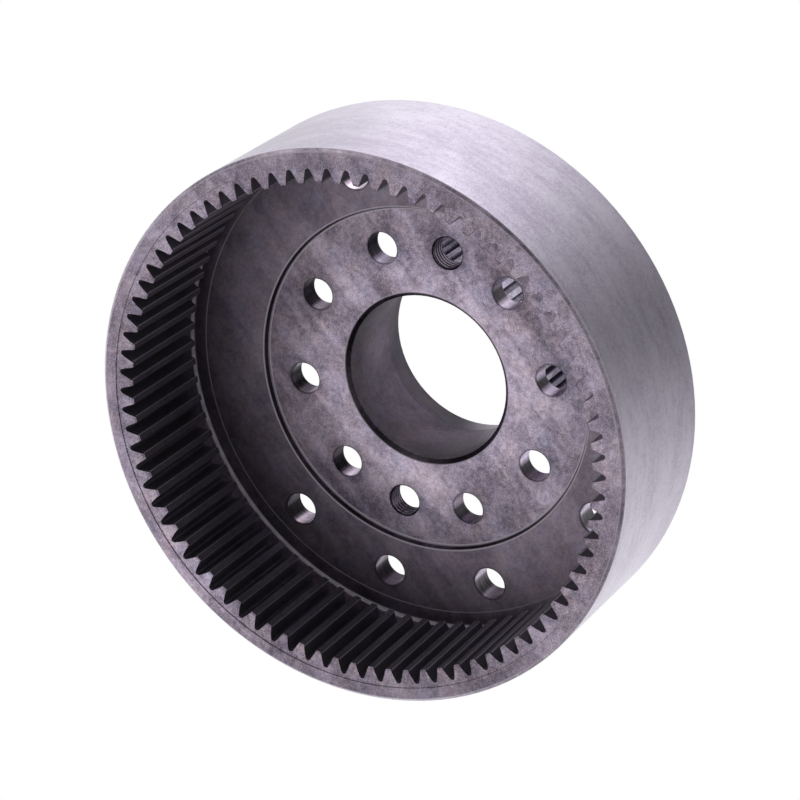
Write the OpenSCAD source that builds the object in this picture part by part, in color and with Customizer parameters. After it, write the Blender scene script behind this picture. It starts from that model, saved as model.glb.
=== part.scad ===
// Crown gear: an internal ring gear with its mounting web and hub in one piece.
// A deep rim carries straight teeth on its inside. A drilled web closes the back
// of the rim, and a bored hub with splines on its outside stands behind the web.
// Millimetres. The hub end stands on z = 0 and the toothed mouth faces up.
// The X axis runs through the two threaded holes.

/* [Ring gear teeth] */
// Number of internal teeth; their module follows from the rim
tooth_count = 80; // [70:1:90]
// Pressure angle of the involute flanks, degrees
pressure_angle = 20; // [20:1:24]
// Length of the teeth along the axis
tooth_length = 66; // [50:1:72]
// Bevel on the front edge of each tooth tip, along the tooth face
tip_bevel = 1.3; // [0.5:0.1:2.5]
// Depth of that bevel along the axis
tip_bevel_depth = 0.5; // [0.2:0.1:1.5]
// How far the tooth faces sit below the front face of the rim
tooth_face_sunk = 0.5; // [0.2:0.1:1.2]

/* [Rim] */
// Outside diameter of the rim
rim_diameter = 310; // [290:1:330]
// Height of the whole gear, hub end to front face
height = 150; // [144:1:175]
// Depth of the rim along the axis
rim_depth = 94.5; // [92:0.5:104]
// Bevel on the front outer corner of the rim
front_bevel = 1.75; // [0.5:0.25:4]
// Bevel on the rear outer corner of the rim
rear_bevel = 3; // [0.5:0.5:4.5]
// Wall of the rim behind the relief groove
rim_wall = 8.125; // [6:0.125:11]
// How far the relief groove is cut deeper than the tooth roots
relief_clearance = 2.5; // [1:0.25:3.5]
// Fillet where the relief groove meets the web
relief_fillet = 3; // [1:0.5:4]

/* [Web] */
// Thickness of the web under the teeth
web_thickness = 15.5; // [13.5:0.5:18]
// Thickness of the recessed pad round the bore
pad_thickness = 12; // [9:0.5:12.5]
// Diameter of the recessed pad at its foot
pad_diameter = 195.6; // [188:0.4:200]
// How far the recess wall leans outwards
pad_wall_lean = 1.6; // [0.6:0.2:2.4]
// Depth of the fine step where the web runs into the relief groove
web_step = 0.4; // [0.2:0.1:0.8]
// How far that step lies outside the tooth tips
web_step_inset = 0.2; // [0.1:0.1:1]

/* [Bolt holes] */
// Diameter of the inner bolt circle
inner_circle = 153; // [150:0.5:157]
// Diameter of the inner bolt holes
inner_hole = 18; // [15:0.5:20]
// Distance from the outer bolt circle to the tooth tips
outer_circle_inset = 16; // [13:0.5:17]
// Diameter of the outer bolt holes
outer_hole = 18.5; // [15:0.5:20]
// Thread size of the two jacking holes, metric coarse
jack_thread = 20; // [16:2:20]
// Pitch of that thread
jack_pitch = 2.5; // [1.5:0.5:2.5]
// Countersink round the mouths of the jacking holes
jack_sink = 0.3; // [0.2:0.1:1]

/* [Hub] */
// Diameter of the bore
bore = 95; // [90:0.5:98]
// Bevel at the front mouth of the bore
bore_bevel = 2.5; // [1:0.5:3.5]
// Diameter of the lead-in at the hub end
lead_in = 104; // [100:0.5:106]
// Length of the lead-in taper
lead_in_length = 20; // [10:1:26]
// Number of splines round the hub
spline_count = 54; // [48:1:60]
// Diameter over the splines
spline_diameter = 125; // [122:0.5:127]
// Depth of the spline grooves
spline_depth = 4; // [2.5:0.25:4.5]
// Bevel at the free end of the splines
spline_bevel = 2; // [1:0.5:3]
// Length of the neck between the splines and the web
hub_neck = 6; // [3:0.5:9]
// How far the neck is turned below the spline roots
neck_relief = 0.5; // [0.3:0.1:1]

/* [Hidden] */
rim_r = rim_diameter / 2;
relief_r = rim_r - rim_wall;
root_r = relief_r - relief_clearance;
// The roots lie a quarter more than one module outside the pitch circle
tooth_module = root_r / (tooth_count / 2 + 1.25);
pitch_r = tooth_count * tooth_module / 2;
tip_r = pitch_r - tooth_module;
base_r = pitch_r * cos(pressure_angle);
web_back = height - rim_depth;
web_face = web_back + web_thickness;
web_step_r = tip_r + web_step_inset;
groove_floor = web_face - web_step;
pad_face = web_back + pad_thickness;
pad_r = pad_diameter / 2;
tooth_end = height - tooth_length;
outer_circle_r = tip_r - outer_circle_inset;
inner_circle_r = inner_circle / 2;
// The jacking holes are drawn at the middle of the thread's depth
jack_r = jack_thread / 2 - 0.325 * jack_pitch;
bore_r = bore / 2;
spline_r = spline_diameter / 2;
spline_root_r = spline_r - spline_depth;
neck_r = spline_root_r - neck_relief;
spline_end = web_back - hub_neck;
// Angles from the X axis; the outer row leaves out the places at 70 and 110
inner_angles = [30, 70, 110, 150, 210, 250, 290, 330];
outer_angles = [0, 30, 150, 180, 210, 250, 290, 330];
jack_angles = [0, 180];

// Involute function, in degrees
function involute(a) = tan(a) * 180 / PI - a;

// Half of the angle a tooth space spans at radius r
function space_half(r) =
  90 / tooth_count + involute(pressure_angle) - involute(acos(base_r / r));

function at(r, a) = [r * cos(a), r * sin(a)];

// One space between two internal teeth, involute flanks and a rounded root
module tooth_space() {
  r_in = tip_r - 0.25 * tooth_module;
  r_mid = tip_r + tooth_module;
  r_end = root_r - 0.22 * tooth_module;
  half_tip = space_half(tip_r);
  half_end = space_half(r_end);
  left = [
    at(r_in, half_tip), at(tip_r, half_tip), at(r_mid, space_half(r_mid)),
    at(r_end, half_end), at(root_r, 0.42 * half_end)
  ];
  right = [for (i = [len(left) - 1 : -1 : 0]) [left[i].x, -left[i].y]];
  polygon(concat(left, right));
}

// One groove between two splines of the hub
module spline_space() {
  step = 360 / spline_count;
  r_out = spline_r + 1;
  polygon([
    at(r_out, 0.30 * step), at(spline_root_r, 0.17 * step),
    at(spline_root_r, -0.17 * step), at(r_out, -0.30 * step)
  ]);
}

// The turned blank: rim, web and hub in one section
module blank() {
  f = relief_fillet;
  fillet = [
    for (a = [0 : 22.5 : 90])
      [relief_r - f * (1 - cos(a)), groove_floor + f * (1 - sin(a))]
  ];
  rotate_extrude($fn = 160)
    polygon(concat([
      [lead_in / 2, 0],
      [spline_r - spline_bevel, 0],
      [spline_r, spline_bevel],
      [spline_r, spline_end],
      [neck_r, spline_end],
      [neck_r, web_back],
      [rim_r - rear_bevel, web_back],
      [rim_r, web_back + rear_bevel],
      [rim_r, height - front_bevel],
      [rim_r - front_bevel, height],
      [relief_r, height],
      [relief_r, height - tooth_face_sunk],
      [tip_r + tip_bevel, height - tooth_face_sunk],
      [tip_r, height - tooth_face_sunk - tip_bevel_depth],
      [tip_r, tooth_end],
      [relief_r, tooth_end]
    ], fillet, [
      [web_step_r + web_step, groove_floor],
      [web_step_r, web_face],
      [pad_r + pad_wall_lean, web_face],
      [pad_r, pad_face],
      [bore_r + bore_bevel, pad_face],
      [bore_r, pad_face - bore_bevel],
      [bore_r, lead_in_length]
    ]));
}

// A hole drilled through the web
module drill(r) {
  translate([0, 0, web_back - 1])
    cylinder(r = r, h = web_thickness + 2, $fn = 40);
}

// The countersunk mouth of a jacking hole, on the pad
module countersink(r) {
  translate([0, 0, pad_face - jack_sink])
    cylinder(r1 = r, r2 = r + 2 * jack_sink, h = 2 * jack_sink, $fn = 40);
}

// The one solid piece of the gear
module crown_gear() {
  color([0.42, 0.40, 0.43])
    difference() {
      blank();
      translate([0, 0, tooth_end - 1])
        linear_extrude(height = tooth_length + 2)
          for (i = [0 : tooth_count - 1])
            rotate((i + 0.5) * 360 / tooth_count)
              tooth_space();
      translate([0, 0, -1])
        linear_extrude(height = spline_end + 2)
          for (i = [0 : spline_count - 1])
            rotate(i * 360 / spline_count)
              spline_space();
      for (a = inner_angles)
        rotate(a)
          translate([inner_circle_r, 0, 0])
            drill(inner_hole / 2);
      for (a = jack_angles)
        rotate(a)
          translate([inner_circle_r, 0, 0]) {
            drill(jack_r);
            countersink(jack_r);
          }
      for (a = outer_angles)
        rotate(a)
          translate([outer_circle_r, 0, 0])
            drill(outer_hole / 2);
    }
}

crown_gear();
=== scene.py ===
from math import cos, pi, radians, sin

import bpy
import numpy as np
from mathutils import Matrix, Vector


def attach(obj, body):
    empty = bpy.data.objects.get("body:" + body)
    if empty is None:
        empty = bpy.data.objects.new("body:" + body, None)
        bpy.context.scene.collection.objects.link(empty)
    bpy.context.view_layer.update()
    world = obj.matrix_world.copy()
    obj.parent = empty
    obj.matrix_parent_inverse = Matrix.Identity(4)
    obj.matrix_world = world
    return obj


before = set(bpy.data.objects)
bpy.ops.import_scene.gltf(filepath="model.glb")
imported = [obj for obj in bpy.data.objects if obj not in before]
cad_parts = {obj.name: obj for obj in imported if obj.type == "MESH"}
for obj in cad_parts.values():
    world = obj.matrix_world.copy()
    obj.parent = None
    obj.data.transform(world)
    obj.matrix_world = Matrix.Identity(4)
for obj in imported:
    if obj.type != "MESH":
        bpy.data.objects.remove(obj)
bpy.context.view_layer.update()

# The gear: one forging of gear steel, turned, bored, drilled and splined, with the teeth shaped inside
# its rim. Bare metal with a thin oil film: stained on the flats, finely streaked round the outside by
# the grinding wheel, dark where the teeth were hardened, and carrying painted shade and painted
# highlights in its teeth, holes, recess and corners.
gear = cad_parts["crown_gear"]


class Wire:
    """A shader socket: arithmetic on it adds Math nodes, and node() adds any other node."""

    def __init__(self, tree, socket=None):
        self.tree = tree
        self.socket = socket

    def node(self, kind, settings=None, inputs=None, output=0):
        """Add one node: its settings are set first, then the values or links of its sockets."""
        made = self.tree.nodes.new("ShaderNode" + kind)
        for name, value in (settings or {}).items():
            if name == "stops":
                ramp = made.color_ramp.elements
                while len(ramp) < len(value):
                    ramp.new(0.5)
                for stop, (place, shade) in zip(ramp, value):
                    stop.position = place
                    stop.color = shade
            else:
                setattr(made, name, value)
        for name, value in (inputs or {}).items():
            if isinstance(value, Wire):
                self.tree.links.new(value.socket, made.inputs[name])
            else:
                made.inputs[name].default_value = value
        return Wire(self.tree, made.outputs[output] if made.outputs else None)

    def math(self, operation, *values, clamp=False):
        return self.node("Math", {"operation": operation, "use_clamp": clamp}, dict(enumerate(values)))

    def __add__(self, other):
        return self.math("ADD", self, other)

    def __radd__(self, other):
        return self.math("ADD", other, self)

    def __sub__(self, other):
        return self.math("SUBTRACT", self, other)

    def __rsub__(self, other):
        return self.math("SUBTRACT", other, self)

    def __mul__(self, other):
        return self.math("MULTIPLY", self, other)

    def __rmul__(self, other):
        return self.math("MULTIPLY", other, self)

    def rise(self, start, end):
        """0 below start, 1 above end, smooth between; start above end makes it fall."""
        return self.node(
            "MapRange",
            {"interpolation_type": "SMOOTHSTEP"},
            {"Value": self, "From Min": start, "From Max": end},
        )

    def noise(self, scale, detail=3.0, rough=0.55, twist=0.0):
        """Cloudy noise from 0 to 1 at this many cells per metre, on this place."""
        return self.node(
            "TexNoise",
            {},
            {"Vector": self, "Scale": scale, "Detail": detail, "Roughness": rough, "Distortion": twist},
        )

    def mixed(self, shade_from, shade_to):
        """A colour between two, by this amount."""
        return self.node(
            "Mix",
            {"data_type": "RGBA"},
            {0: self, 6: shade_from, 7: shade_to},
            output=2,
        )


def new_material(name):
    """An empty material and the wire that its nodes start from."""
    made = bpy.data.materials.new(name)
    made.use_nodes = True
    made.node_tree.nodes.clear()
    return made, Wire(made.node_tree)


def steel(name):
    """Bare gear steel: the finish, with its painted shade and highlights, changes with the radius r and
    the height z of the place.
    Lengths are in metres, bearings in degrees from the X axis."""
    made, start = new_material(name)
    place = start.node("TexCoord", output=3)
    facing = start.node("TexCoord", output=1)
    x, y, z = (start.node("SeparateXYZ", {}, {0: place}, output=axis) for axis in range(3))
    r = x.math("SQRT", x * x + y * y)
    flat = start.node("CombineXYZ", {}, {0: x, 1: y})

    def ring(inside, outside, soft=0.0003):
        """1 between two radii, falling to 0 over the soft distance beyond them."""
        return r.rise(inside - soft, inside) * r.rise(outside + soft, outside)

    def level(low, high, soft=0.0003):
        """1 between two heights, falling to 0 over the soft distance beyond them."""
        return z.rise(low - soft, low) * z.rise(high + soft, high)

    def from_point(angle, circle):
        """Distance in plan from the point at this angle of a circle round the axis."""
        point = (circle * cos(radians(angle)), circle * sin(radians(angle)), 0)
        return start.node("VectorMath", {"operation": "DISTANCE"}, {0: flat, 1: point}, output=1)

    def from_nearest(angles, circle):
        """Distance in plan from the nearest of the points at these angles of a circle."""
        nearest = from_point(angles[0], circle)
        for angle in angles[1:]:
            nearest = nearest.math("MINIMUM", nearest, from_point(angle, circle))
        return nearest

    def towards(angle):
        """How far the place lies from the axis in this bearing."""
        return cos(radians(angle)) * x + sin(radians(angle)) * y

    def turned_to(angle):
        """How far the surface here is turned to this bearing, 1 when it faces it."""
        bearing = (cos(radians(angle)), sin(radians(angle)), 0)
        return start.node("VectorMath", {"operation": "DOT_PRODUCT"}, {0: facing, 1: bearing}, output=1)

    # The surfaces, by their radius and height
    on_outside = r.rise(0.1528, 0.1534)
    on_front_bevel = ring(0.1534, 0.1560) * level(0.1485, 0.1510)
    on_rim_face = z.rise(0.1486, 0.1490) * (1 - on_outside)
    on_web = ring(0.0990, 0.1446) * level(0.0703, 0.0716)
    on_pad = ring(0.0502, 0.0979) * level(0.0673, 0.0678)
    on_recess_wall = ring(0.0978, 0.0994) * level(0.0679, 0.0707)
    on_mouth_bevel = ring(0, 0.0499) * level(0.0655, 0.0690, 0.0006)
    in_bore = ring(0, 0.0523, 0.0006) * level(0, 0.0645)
    on_lead_in = in_bore * z.rise(0.0208, 0.0198)
    on_splines = ring(0.0614, 0.0640) * level(0.0025, 0.0550)
    between_splines = ring(0.0560, 0.0600) * level(0.0025, 0.0550)
    inner_holes = ring(0.056, 0.098, 0.001) * level(0.0558, 0.0671)
    outer_holes = ring(0.107, 0.133, 0.0015) * level(0.0558, 0.0706)
    in_holes = inner_holes + outer_holes
    in_thread = inner_holes * y.math("ABSOLUTE", y).rise(0.0112, 0.0108)
    in_plain_holes = in_holes - in_thread
    hole_mouth_shade = inner_holes * z.rise(0.0661, 0.0667) + outer_holes * z.rise(0.0696, 0.0702)
    in_teeth = ring(0.1364, 0.1525) * level(0.0842, 0.1484)
    on_tips = ring(0.1360, 0.13655, 0.0001) * level(0.0842, 0.1480)
    fillet_highlight = ring(0.1448, 0.1460, 0.0005) * level(0.0705, 0.0746)

    # The corners, worn to thin bright lines, which also stand in as painted highlights of the rounded
    # edges
    recess_edge_glints = ring(0.0993, 0.0999) * z.rise(0.0703, 0.0707)
    recess_edge_glints = recess_edge_glints + 0.9 * ring(0.0974, 0.0983) * level(0.0673, 0.0683)
    mouth_edge_glint = ring(0.0497, 0.0501, 0.0002) * z.rise(0.0668, 0.0671)
    bevel_edge_glints = ring(0.1531, 0.1534) * z.rise(0.1495, 0.1498)
    bevel_edge_glints = bevel_edge_glints + r.rise(0.1544, 0.1547) * level(0.1480, 0.1485)
    step_edge_glint = ring(0.1366, 0.1373, 0.0002) * level(0.0703, 0.0716)
    tip_edge_glints = ring(0.1367, 0.1374, 0.0001) * level(0.0842, 0.1480)
    worn_and_glinting_edge = recess_edge_glints + 0.7 * mouth_edge_glint + 0.6 * bevel_edge_glints
    worn_and_glinting_edge = worn_and_glinting_edge + 0.70 * step_edge_glint + 0.85 * tip_edge_glints
    worn_and_glinting_edge = worn_and_glinting_edge.math("MINIMUM", worn_and_glinting_edge, 1.0)

    # The stains of the flats, from wide clouds down to grain, with smears left by wiping, oil round the
    # holes and a thin painted shade at the holes' edges; they are centred on 0 and then moved to the
    # middle of the shades
    inner_angles, inner_circle = (0, 30, 70, 110, 150, 180, 210, 250, 290, 330), 0.0765
    outer_angles, outer_circle = (0, 30, 150, 180, 210, 250, 290, 330), 0.1205
    near_hole = from_nearest(inner_angles, inner_circle)
    near_outer = from_nearest(outer_angles, outer_circle)
    wiping_angle, stain_mean, middle_shade = 52, 0.970, 0.505
    clouds = place.noise(17.0, 5.0, 0.6, 0.3)
    patches = place.noise(75.0, 4.0, 0.55, 0.6)
    speckle = place.noise(340.0, 3.0, 0.6)
    grain = place.noise(1300.0, 2.0, 0.7)
    wiped = place.node(
        "Mapping",
        {"vector_type": "TEXTURE"},
        {
            "Vector": place,
            "Location": (0.10, 0.0, -0.19),
            "Rotation": (0, 0, radians(wiping_angle)),
            "Scale": (0.085, 0.014, 0.030),
        },
    )
    smears = wiped.noise(1.0, 4.0, 0.5, 0.4)
    stained = 0.44 * clouds + 0.20 * patches + 0.34 * smears + 0.38 * speckle + 0.48 * grain
    stained = stained + 0.05 * patches.rise(0.46, 0.54) + 0.045 * smears.rise(0.45, 0.53) - stain_mean
    stained = stained + on_rim_face * (0.20 * grain - 0.30 * smears + 0.05)
    oil = 0.05 * patches.rise(0.57, 0.66)
    oil = oil + 0.10 * near_hole.rise(0.0160, 0.0095) * patches.rise(0.35, 0.65)
    # A thin dark ring at the edge of each hole, on the pad and on the web, is painted shade of the
    # hole's chamfer; the wider halo round it is oil
    stained = stained - on_pad * (oil + 0.16 * near_hole.rise(0.0099, 0.0093))
    stained = stained - 0.30 * on_web * near_outer.rise(0.0102, 0.0096)
    stained = stained * (1 - 0.5 * in_bore - 0.45 * on_web - 0.5 * in_holes - 0.6 * in_teeth)
    stained = middle_shade + stained
    flat_shade = start.node(
        "ValToRGB",
        {"stops": [
            (0.30, (0.100, 0.084, 0.112, 1)),
            (0.44, (0.205, 0.172, 0.220, 1)),
            (0.56, (0.310, 0.262, 0.326, 1)),
            (0.72, (0.480, 0.405, 0.490, 1)),
        ]},
        {0: stained},
    )

    # The outside, with wide haze and finer streaks drawn out round it
    haze_shift = -0.805
    drawn = place.node("Mapping", {}, {"Vector": place, "Scale": (16.0, 16.0, 44.0)})
    haze = 0.45 * drawn.noise(1.0, 5.0, 0.6, 0.3) + 0.65 * place.noise(8.0, 4.0, 0.6, 0.4)
    wheel = place.node("Mapping", {}, {"Vector": place, "Scale": (45.0, 45.0, 190.0)})
    haze = haze + 0.42 * wheel.noise(1.0, 4.0, 0.6, 0.8) + 0.34 * speckle + 0.75 * grain + haze_shift
    outside_shade = start.node(
        "ValToRGB",
        {"stops": [
            (0.34, (0.274, 0.243, 0.304, 1)),
            (0.50, (0.350, 0.319, 0.380, 1)),
            (0.66, (0.420, 0.391, 0.450, 1)),
        ]},
        {0: haze},
    )

    # How much lighter or darker each surface is than the stained flats: partly its own finish, partly
    # painted shade and painted light
    rim_circle = 0.15
    far_half = towards(142).rise(-0.015, 0.015)
    lighter_far_patch = from_point(143, rim_circle).rise(0.08, 0)
    oily = 0.28 * from_point(-152, rim_circle).rise(0.12, 0)
    oily = oily + 0.22 * from_point(22, rim_circle).rise(0.06, 0)
    # Painted shade: the recess wall darker, and the teeth darker, partly from their hardening; their
    # lands a little darker still
    tone = 1 - 0.45 * on_recess_wall - 0.42 * in_teeth - 0.10 * on_tips
    # Painted light: the hub's splines much lighter, as if lit low from the camera's side; the gaps
    # between them a little lighter
    tone = tone + 1.7 * on_splines + 0.1 * between_splines
    # The pad lighter towards the bore, partly its finish and partly painted light, and darker towards
    # one side
    tone = tone + on_pad * (0.36 * r.rise(0.086, 0.060) - 0.40 * from_point(75, 0.1).rise(0.09, 0))
    tone = tone + on_web * (0.20 * from_point(-138, 0.115).rise(0.11, 0) - 0.15)
    # The bore's mouth bevel: painted light on its near half and painted shade on its far half; the front
    # bevel lighter
    tone = tone + on_mouth_bevel * (0.8 - 1.4 * far_half) + 0.5 * on_front_bevel
    tone = tone + in_bore * (0.45 - 0.75 * z.rise(0.028, 0.066)) - 0.4 * on_lead_in
    # The rim face lighter towards its far side, and darker at two oily spots
    tone = tone + on_rim_face * (0.26 * lighter_far_patch - oily)

    # The walls of the holes: fine rings left by the tool, painted shade on the walls turned away from
    # the light, painted reflections on those turned to it
    turned = place.node("Mapping", {}, {"Vector": place, "Scale": (60.0, 60.0, 1700.0)})
    bored = in_plain_holes * turned.noise(1.0, 2.0, 0.5)
    thread_root_shade = in_thread * near_hole.rise(0.0087, 0.0090)
    holes_in_shade = towards(70).rise(0.025, 0.035)
    wall_shade = holes_in_shade * turned_to(52).rise(0.30, -0.65)
    wall_shade = wall_shade.math("MAXIMUM", wall_shade, turned_to(132).rise(-0.80, -0.95))
    wall_shade = wall_shade * in_plain_holes
    holes_in_light = towards(-35).rise(0.0, 0.04)
    lower_holes = towards(250).rise(0.02, 0.05)
    wall_highlight = holes_in_light * turned_to(-8).rise(0.86, 0.97) * in_plain_holes
    wall_highlight = wall_highlight + lower_holes * turned_to(-88).rise(0.86, 0.97) * inner_holes
    # Painted shade darkens the walls turned away from the light, and painted reflections brighten those
    # turned to it
    tone = tone - 0.1 * in_holes - 1.3 * wall_shade + 1.2 * bored + 1.6 * wall_highlight
    # Painted shade in the roots of the thread and round the top of each hole's wall
    tone = tone + 0.6 * in_thread - 0.7 * thread_root_shade - 0.9 * hole_mouth_shade
    darkest = 0.06
    tone = tone.math("MAXIMUM", tone, darkest)

    # The colour: stains by tone, tinted warm and cool, with the outside, the worn and glinting corners
    # and the painted highlight of the fillet over them
    shade = start.node("VectorMath", {"operation": "SCALE"}, {0: flat_shade, "Scale": tone})
    tint = place.noise(55.0, 5.0, 0.7).mixed((1.17, 1.015, 0.84, 1), (0.84, 0.985, 1.16, 1))
    shade = start.node("VectorMath", {"operation": "MULTIPLY"}, {0: shade, 1: tint})
    grey = (in_teeth + on_splines + between_splines).mixed((1, 1, 1, 1), (0.95, 1.05, 1.0, 1))
    shade = start.node("VectorMath", {"operation": "MULTIPLY"}, {0: shade, 1: grey})
    shade = (on_outside * (1 - on_front_bevel)).mixed(shade, outside_shade)
    shade = worn_and_glinting_edge.mixed(shade, (0.56, 0.50, 0.58, 1))
    # Painted highlight: the fillet at the foot of the teeth shown bright and matt
    shade = fillet_highlight.mixed(shade, (0.92, 0.86, 0.95, 1))

    metal = 1 - worn_and_glinting_edge - fillet_highlight - 0.6 * on_front_bevel - 0.5 * in_teeth - 0.4 * wall_shade
    rough = 0.28 + 0.12 * clouds - 0.18 * in_holes + 0.16 * on_web
    edge_round = 0.00035
    edges = start.node("Bevel", {"samples": 6}, {"Radius": edge_round})
    skin = start.node(
        "Bump",
        {},
        {"Strength": 0.12, "Distance": 0.0003, "Height": grain + patches + 4.0 * bored, "Normal": edges},
    )
    surface = start.node(
        "BsdfPrincipled",
        {},
        {"Base Color": shade, "Metallic": metal, "Roughness": rough, "Normal": skin},
    )
    start.node("OutputMaterial", {}, {"Surface": surface})
    return made


gear.data.materials.clear()
gear_steel = steel("gear_steel")
gear.data.materials.append(gear_steel)

# The jacking threads: two tapped holes opposite each other in the pad, metric coarse. Each is
# the inner half of the cut thread, a sleeve of ridges on the wall of the solid's hole.
thread_r = 0.010
thread_pitch = 0.0025
thread_depth = 0.541 * thread_pitch
hole_r = thread_r - 0.325 * thread_pitch
web_back = 0.0555
mouth = 0.0672
crest_half = 0.125
flank = 0.3125
wall_gap = 0.0001
points_round = 96
points_up = 81
hole_places = {"jack_thread_a": 0.0765, "jack_thread_b": -0.0765}


def thread_sleeve(name, centre_x):
    """A thread cut inside a hole: round the hole by angle a and up it by height h, the wall is
    nearest the axis where h / pitch - a / turn is a half, flat there, and slopes back to the hole."""
    around = np.linspace(0, 2 * pi, points_round + 1)[:-1]
    up = np.linspace(web_back, mouth, points_up)
    a, h = np.meshgrid(around, up, indexing="ij")
    phase = np.mod((h - web_back) / thread_pitch - a / (2 * pi), 1.0)
    slope = np.clip((np.abs(phase - 0.5) - crest_half) / flank, 0.0, 1.0)
    wall = thread_r - thread_depth * (1 - slope)
    run_out = hole_r - np.minimum(mouth - h, h - web_back)
    wall = np.minimum(np.maximum(wall, run_out), hole_r - wall_gap)
    inner = np.stack([centre_x + wall * np.cos(a), wall * np.sin(a), h], -1)
    a_back, h_back = a[:, -2:0:-8], h[:, -2:0:-8]
    back = np.stack([centre_x + hole_r * np.cos(a_back), hole_r * np.sin(a_back), h_back], -1)
    loop = np.concatenate([inner, back], 1)
    rows, columns = loop.shape[:2]
    i, j = np.meshgrid(np.arange(rows), np.arange(columns), indexing="ij")
    ahead, across = (i + 1) % rows, (j + 1) % columns
    faces = np.stack(
        [i * columns + j, i * columns + across, ahead * columns + across, ahead * columns + j], -1
    ).reshape(-1, 4)
    mesh = bpy.data.meshes.new(name)
    mesh.from_pydata(loop.reshape(-1, 3).tolist(), [], faces.tolist())
    mesh.materials.append(gear_steel)
    made = bpy.data.objects.new(name, mesh)
    bpy.context.collection.objects.link(made)
    return made


for thread_name, thread_x in hole_places.items():
    thread = thread_sleeve(thread_name, thread_x)
    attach(thread, "root")

# The floor: a plain white table that the gear stands on, hub end down. The camera sees it as pure
# white. All other light finds it matt, glowing more in some places and less under the gear.
floor_half = 6.0
floor_mesh = bpy.data.meshes.new("floor")
corner = floor_half * np.array([[-1, -1, 0], [1, -1, 0], [1, 1, 0], [-1, 1, 0]])
floor_mesh.from_pydata(corner.tolist(), [], [[0, 1, 2, 3]])
floor = bpy.data.objects.new("floor", floor_mesh)
bpy.context.collection.objects.link(floor)
picture_heading = 127.8
paper, start = new_material("white_table")
place = start.node("TexCoord", output=3)
turned = place.node("Mapping", {}, {"Vector": place, "Rotation": (0, 0, radians(picture_heading))})


def from_spot(across, deep):
    """Distance on the table from this place, in the picture's own heading."""
    spot = (across, deep, 0)
    return turned.node("VectorMath", {"operation": "DISTANCE"}, {0: turned, 1: spot}, output=1)


def with_spots(glow, spots):
    """The glow with spots added, each given by its place across and deep, the distance where it
    starts, the distance where it is full, and its strength."""
    for across, deep, edge, core, strength in spots:
        glow = glow + strength * from_spot(across, deep).rise(edge, core)
    return glow


open_glow = 1.08
beside_gear = [
    (-0.17, 0.22, 0.27, 0, 1.3),
    (0.035, 0.24, 0.27, 0.04, -0.94),
    (0.20, -0.03, 0.15, 0, 0.2),
    (-0.20, -0.02, 0.15, 0, -0.12),
]
below_holes = [
    (0.048, -0.026, 0.028, 0, 0.55),
    (0.085, 0, 0.045, 0, 0.5),
    (-0.035, -0.085, 0.04, 0, 1.2),
    (-0.12, -0.02, 0.05, 0, 0.5),
    (-0.01, 0.07, 0.05, 0.01, 0.3),
    (-0.045, -0.115, 0.055, 0.01, 0.6),
]
under_gear = from_spot(-0.01, -0.05).rise(0.175, 0.110)
off_the_hub = from_spot(0, 0).rise(0.055, 0.065)
glow = with_spots(open_glow, beside_gear) * (1 - under_gear * (0.84 + 0.10 * off_the_hub))
glow = with_spots(glow, below_holes)
matt = start.node("BsdfDiffuse", {}, {"Color": (0.5, 0.5, 0.5, 1)})
glowing = start.node("VectorMath", {"operation": "SCALE"}, {0: (0.97, 0.965, 1), "Scale": glow})
shining = start.node("Emission", {}, {"Color": glowing, "Strength": 1.0})
table = start.node("AddShader", {}, {0: matt, 1: shining})
clear = start.node("Emission", {}, {"Color": (1, 1, 1, 1), "Strength": 1.0})
seen = start.node("LightPath")
shown = start.node("MixShader", {}, {0: seen, 1: table, 2: clear})
start.node("OutputMaterial", {}, {"Surface": shown})
floor_mesh.materials.append(paper)

# The studio: soft boxes round the table. Azimuths are from the picture's own heading, where
# 90 degrees is the camera's side, which stays dim, as the dark part of the outside shows.
world = bpy.data.worlds.new("studio")
bpy.context.scene.world = world
world.use_nodes = True
air = world.node_tree.nodes["Background"]
air.inputs["Color"].default_value = (0.95, 0.95, 1.0, 1)
air.inputs["Strength"].default_value = 0.13


def soft_box(name, azimuth, elevation, distance, width, height, radiance, aim=(0, 0, 0.07)):
    """An area lamp of even brightness at this bearing from the gear, turned to face the aim."""
    lamp = bpy.data.lights.new(name, "AREA")
    lamp.shape = "RECTANGLE"
    lamp.size = width
    lamp.size_y = height
    lamp.energy = radiance * pi * width * height
    bearing = radians(azimuth - picture_heading)
    lift = radians(elevation)
    way = Vector((cos(bearing) * cos(lift), sin(bearing) * cos(lift), sin(lift)))
    made = bpy.data.objects.new(name, lamp)
    made.location = Vector(aim) + distance * way
    made.rotation_euler = way.to_track_quat("Z", "Y").to_euler()
    made.visible_camera = False
    bpy.context.collection.objects.link(made)


soft_box("top_box", -90, 58, 1.6, 2.0, 1.6, 0.95)
soft_box("left_box", 165, 20, 1.2, 0.9, 0.4, 1.5)
soft_box("right_box", -5, 14, 1.2, 0.9, 0.3, 0.7)
soft_box("front_box", 50, 40, 1.6, 1.0, 0.5, 0.3)
soft_box("back_box", -90, 12, 1.8, 2.4, 0.7, 0.75)
soft_box("overhead_box", 90, 77, 1.4, 1.2, 0.35, 1.2)

# The camera: far back with a long lens, looking down into the toothed mouth, and rolled so
# that the gear leans over in the picture.
front_on_axis = Vector((0, 0, 0.1483))
front_in_view = Vector((-0.023445, -0.0167, -1.702329))
look_down = -35.297
roll = 53.182
lens = bpy.data.cameras.new("camera")
lens.sensor_width = 36.0
lens.lens = 145.95
lens.clip_end = 50.0
turn = (
    Matrix.Rotation(radians(-picture_heading), 3, "Z")
    @ Matrix.Rotation(radians(look_down), 3, "X")
    @ Matrix.Rotation(radians(roll), 3, "Z")
)
camera = bpy.data.objects.new("camera", lens)
camera.matrix_world = Matrix.Translation(front_on_axis - turn @ front_in_view) @ turn.to_4x4()
bpy.context.collection.objects.link(camera)
bpy.context.scene.camera = camera
bpy.context.scene.view_settings.view_transform = "Standard"
